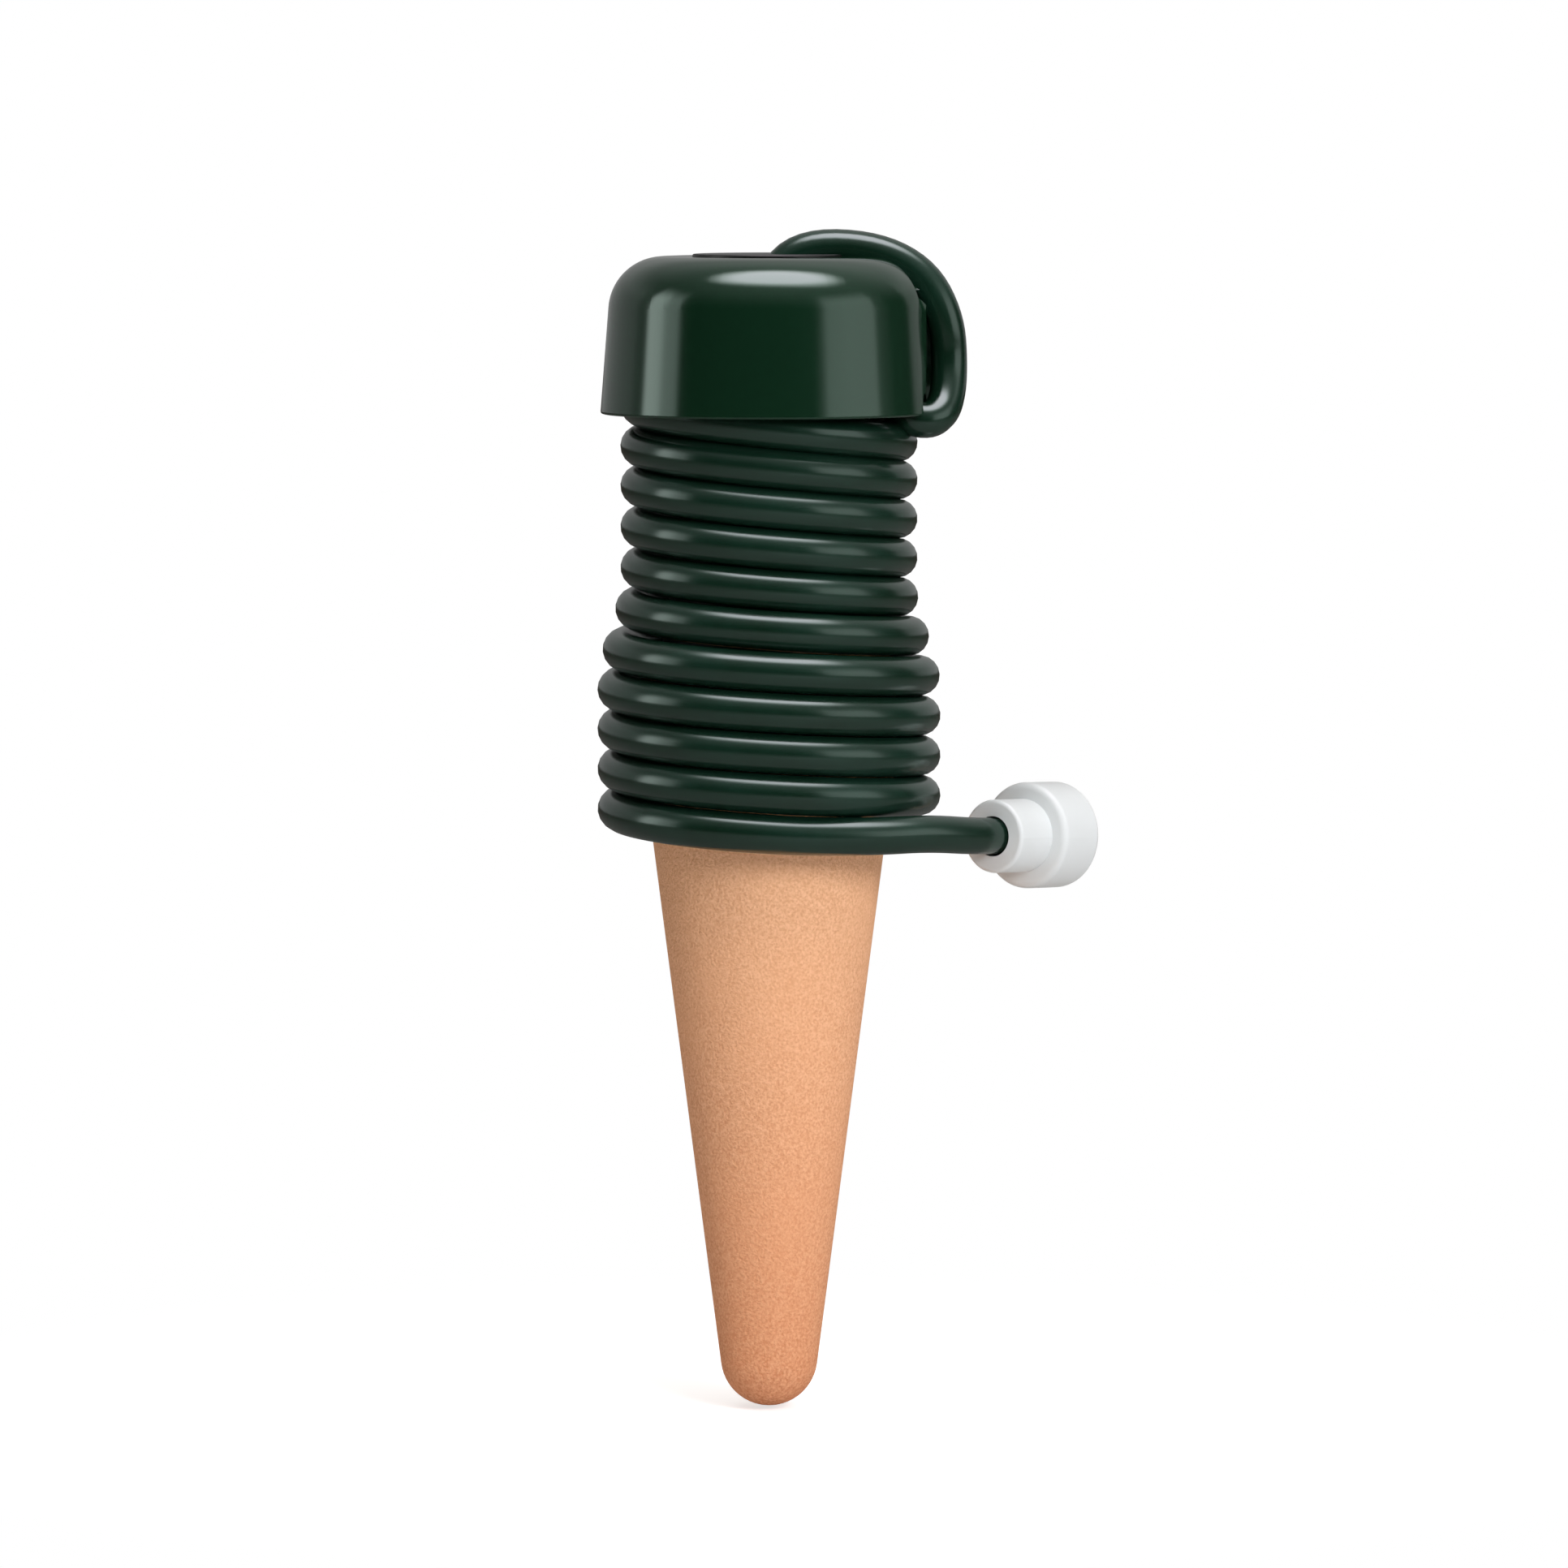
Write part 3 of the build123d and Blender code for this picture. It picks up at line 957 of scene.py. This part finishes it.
    def oval_light(
        self,
        tree: bpy.types.NodeTree,
        heading: bpy.types.NodeSocket,
        parts: bpy.types.Node,
    ) -> bpy.types.NodeSocket:
        """Make the overhead lamp, an oval that fades towards its rim.

        Args:
            tree: node tree of the world.
            heading: the direction.
            parts: node that gives the direction's X, Y and Z.

        Returns:
            Its radiance.
        """
        scale = [1 / half for half in self.oval_half]
        shift = [-middle / half for middle, half in zip(self.oval_middle, self.oval_half)]
        off = add_node(
            tree,
            "ShaderNodeVectorMath",
            {"operation": "MULTIPLY_ADD", 1: (*scale, 0.0), 2: (*shift, 0.0)},
            {0: heading},
        )
        reach = add_node(
            tree, "ShaderNodeVectorMath", {"operation": "LENGTH"}, {0: off.outputs["Vector"]}
        )
        oval = add_node(
            tree,
            "ShaderNodeMapRange",
            {
                "interpolation_type": "SMOOTHSTEP",
                "From Min": self.oval_fade[0],
                "From Max": self.oval_fade[1],
                "To Min": self.oval,
                "To Max": 0.0,
            },
            {"Value": reach.outputs["Value"]},
        )
        high = add_node(
            tree,
            "ShaderNodeMath",
            {"operation": "GREATER_THAN", 1: self.oval_floor},
            {0: parts.outputs["Z"]},
        )
        overhead = add_node(
            tree,
            "ShaderNodeMath",
            {"operation": "MULTIPLY"},
            {0: oval.outputs["Result"], 1: high.outputs["Value"]},
        )
        return overhead.outputs["Value"]

    def build(self) -> None:
        """Make the world, and choose by the kind of ray what it shows."""
        world = bpy.data.worlds.new("studio_surround")
        bpy.context.scene.world = world
        world.use_nodes = True
        tree = world.node_tree
        tree.nodes.clear()
        seen = add_node(tree, "ShaderNodeLightPath")
        heading = add_node(tree, "ShaderNodeTexCoord").outputs["Generated"]
        parts = add_node(tree, "ShaderNodeSeparateXYZ", links={"Vector": heading})
        overhead = self.oval_light(tree, heading, parts)
        studio = self.bank_light(tree, parts)
        for light in (self.ceiling_light(tree, parts), overhead):
            studio = add_node(
                tree, "ShaderNodeMath", {"operation": "ADD"}, {0: studio, 1: light}
            ).outputs["Value"]
        lamp = add_node(
            tree,
            "ShaderNodeMix",
            {"data_type": "FLOAT", NUMBER_A: self.fill},
            {FACTOR: seen.outputs["Is Glossy Ray"], NUMBER_B: studio},
        )
        strength = add_node(
            tree,
            "ShaderNodeMix",
            {"data_type": "FLOAT", NUMBER_B: 1.0},
            {FACTOR: seen.outputs["Is Camera Ray"], NUMBER_A: lamp.outputs[MIXED_NUMBER]},
        )
        share = add_node(
            tree,
            "ShaderNodeMapRange",
            {"From Min": 0.0, "From Max": self.oval},
            {"Value": overhead},
        )
        studio_colour = add_node(
            tree,
            "ShaderNodeMix",
            {"data_type": "RGBA", COLOUR_A: WHITE, COLOUR_B: linear(self.oval_colour)},
            {FACTOR: share.outputs["Result"]},
        )
        lit = add_node(
            tree,
            "ShaderNodeMix",
            {"data_type": "RGBA", COLOUR_A: linear(self.fill_colour)},
            {
                FACTOR: seen.outputs["Is Glossy Ray"],
                COLOUR_B: studio_colour.outputs[MIXED_COLOUR],
            },
        )
        colour = add_node(
            tree,
            "ShaderNodeMix",
            {"data_type": "RGBA", COLOUR_B: WHITE},
            {FACTOR: seen.outputs["Is Camera Ray"], COLOUR_A: lit.outputs[MIXED_COLOUR]},
        )
        sky = add_node(
            tree,
            "ShaderNodeBackground",
            links={
                "Color": colour.outputs[MIXED_COLOUR],
                "Strength": strength.outputs[MIXED_NUMBER],
            },
        )
        add_node(tree, "ShaderNodeOutputWorld", links={"Surface": sky.outputs["Background"]})


class Face(Enum):
    """Forms of a soft lamp's face, by Blender's names."""

    RECTANGLE = "RECTANGLE"
    OVAL = "ELLIPSE"


@dataclass(frozen=True)
class Softbox:
    """A soft lamp that looks at the spike; gloss shows the surround's lamps in its place.

    Attributes:
        name: name of the lamp.
        azimuth: side it stands on, in degrees from the front, positive to the right.
        height: elevation over the spike's middle, in degrees.
        width: width of its face.
        length: height of its face.
        radiance: brightness of its face, where 1 is white.
        face: form of its face.
        colour: colour of its light.
        distance: distance from the spike's middle.
    """

    name: str
    azimuth: float
    height: float
    width: float
    length: float
    radiance: float
    face: Face = Face.RECTANGLE
    colour: str = "#FFFFFF"
    distance: float = 0.60

    def build(self, target: Vector) -> None:
        """Hang the lamp.

        Args:
            target: point it looks at.
        """
        lamp = bpy.data.lights.new(self.name, "AREA")
        lamp.shape = self.face.value
        lamp.size = self.width
        lamp.size_y = self.length
        # A flat lamp of this power sends out the stated radiance from its face
        area = self.width * self.length * (pi / 4 if self.face is Face.OVAL else 1)
        lamp.energy = self.radiance * pi * area
        lamp.color = linear(self.colour)[:3]
        around, up = radians(self.azimuth), radians(self.height)
        away = Vector((sin(around) * cos(up), -cos(around) * cos(up), sin(up)))
        holder = bpy.data.objects.new(self.name, lamp)
        holder.location = target + away * self.distance
        holder.rotation_euler = away.to_track_quat("Z", "Y").to_euler()
        holder.visible_camera = False
        holder.visible_glossy = False
        bpy.context.scene.collection.objects.link(holder)


@dataclass(frozen=True)
class Studio:
    """Camera, floor, surround and lamps.

    Attributes:
        camera: the camera.
        floor: the pale floor.
        surround: the white surround.
        target: point that the lamps look at.
        softboxes: the lamps.
    """

    camera: Camera = Camera()
    floor: Floor = Floor()
    surround: Surround = Surround()
    target: Point = (0.0, 0.0, 0.11)
    softboxes: tuple[Softbox, ...] = (
        Softbox(
            "overhead_softbox",
            azimuth=6,
            height=72,
            width=0.95,
            length=0.60,
            radiance=2.2,
            face=Face.OVAL,
        ),
        Softbox(
            "left_softbox",
            azimuth=-80,
            height=8,
            width=0.32,
            length=0.60,
            radiance=0.25,
        ),
        Softbox(
            "right_softbox",
            azimuth=62,
            height=8,
            width=0.48,
            length=0.60,
            radiance=0.35,
        ),
        Softbox(
            "right_rear_softbox",
            azimuth=135,
            height=8,
            width=0.34,
            length=0.60,
            radiance=0.35,
        ),
        Softbox(
            "key_softbox",
            azimuth=29,
            height=20,
            width=0.22,
            length=0.22,
            radiance=15.6,
            colour="#F5F9FF",
        ),
    )

    def build(self) -> None:
        """Set camera, floor, surround and lamps."""
        bpy.context.scene.view_settings.view_transform = "Standard"
        self.camera.build()
        self.floor.build()
        self.surround.build()
        for softbox in self.softboxes:
            softbox.build(Vector(self.target))
        LOG.info("studio set with %d softboxes", len(self.softboxes))


def main() -> None:
    """Build the studio, then the hose, then dress each sub-assembly."""
    logging.basicConfig(level=logging.INFO, format="%(name)s: %(message)s")
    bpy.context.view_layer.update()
    Studio().build()
    Hose().build()
    Spike().build()
    Cap().build()
    Strainer().build()


if __name__ == "__main__":
    main()
